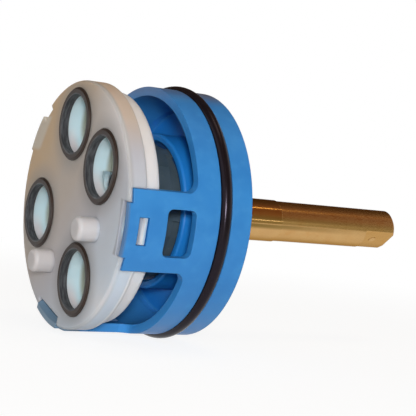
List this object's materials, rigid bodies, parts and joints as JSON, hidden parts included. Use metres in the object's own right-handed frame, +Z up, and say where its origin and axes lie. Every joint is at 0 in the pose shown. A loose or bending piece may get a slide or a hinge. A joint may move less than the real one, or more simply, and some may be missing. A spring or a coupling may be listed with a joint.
{
  "type": "shower mixing cartridge",
  "caption": "Round shower mixing cartridge: port plate with face seals and pegs, blue clip-on housing with sealing ring, ceramic discs inside, and a long brass stem.",
  "frame": {"origin": "centre of the port plate's seat face, on the stem axis", "axes": "+X runs along the stem axis from the seat face to the handle end, +Z is up as the part lies in the picture, and -Y faces the picture's camera side"},
  "size_m": [0.0908, 0.0568, 0.0568],
  "materials": {
    "plate_plastic": "translucent moulded plastic, satin",
    "seal_rubber": "moulded rubber with a slight sheen",
    "inner_rubber": "moulded rubber",
    "blue_plastic": "satin moulded plastic",
    "ring_rubber": "greased rubber",
    "cage_plastic": "charcoal moulded plastic",
    "disc_ceramic": "lapped technical ceramic",
    "driver_plastic": "glass-filled plastic",
    "washer_plastic": "low-friction plastic",
    "stem_brass": "turned brass",
    "clip_steel": "spring steel"
  },
  "bodies": {
    "cartridge_body": {"port_plate": "plate_plastic", "cold_inlet_seal": "seal_rubber", "hot_inlet_seal": "seal_rubber", "tub_outlet_seal": "seal_rubber", "shower_outlet_seal": "seal_rubber", "cold_gate_seal": "inner_rubber", "hot_gate_seal": "inner_rubber", "tub_gate_seal": "inner_rubber", "shower_gate_seal": "inner_rubber", "housing": "blue_plastic", "body_o_ring": "ring_rubber", "disc_cage": "cage_plastic", "fixed_disc": "disc_ceramic", "thrust_washer": "washer_plastic"},
    "spindle": {"stem": "stem_brass", "disc_driver": "driver_plastic", "turning_disc": "disc_ceramic", "inner_stem_ring": "ring_rubber", "outer_stem_ring": "ring_rubber", "retaining_clip": "clip_steel"}
  },
  "joints": [
    {"name": "stem_turn", "type": "hinge", "parent": "cartridge_body", "child": "spindle", "pos_m": [0.029, 0, 0], "axis": [1, 0, 0], "range_deg": [0, 240]}
  ]
}
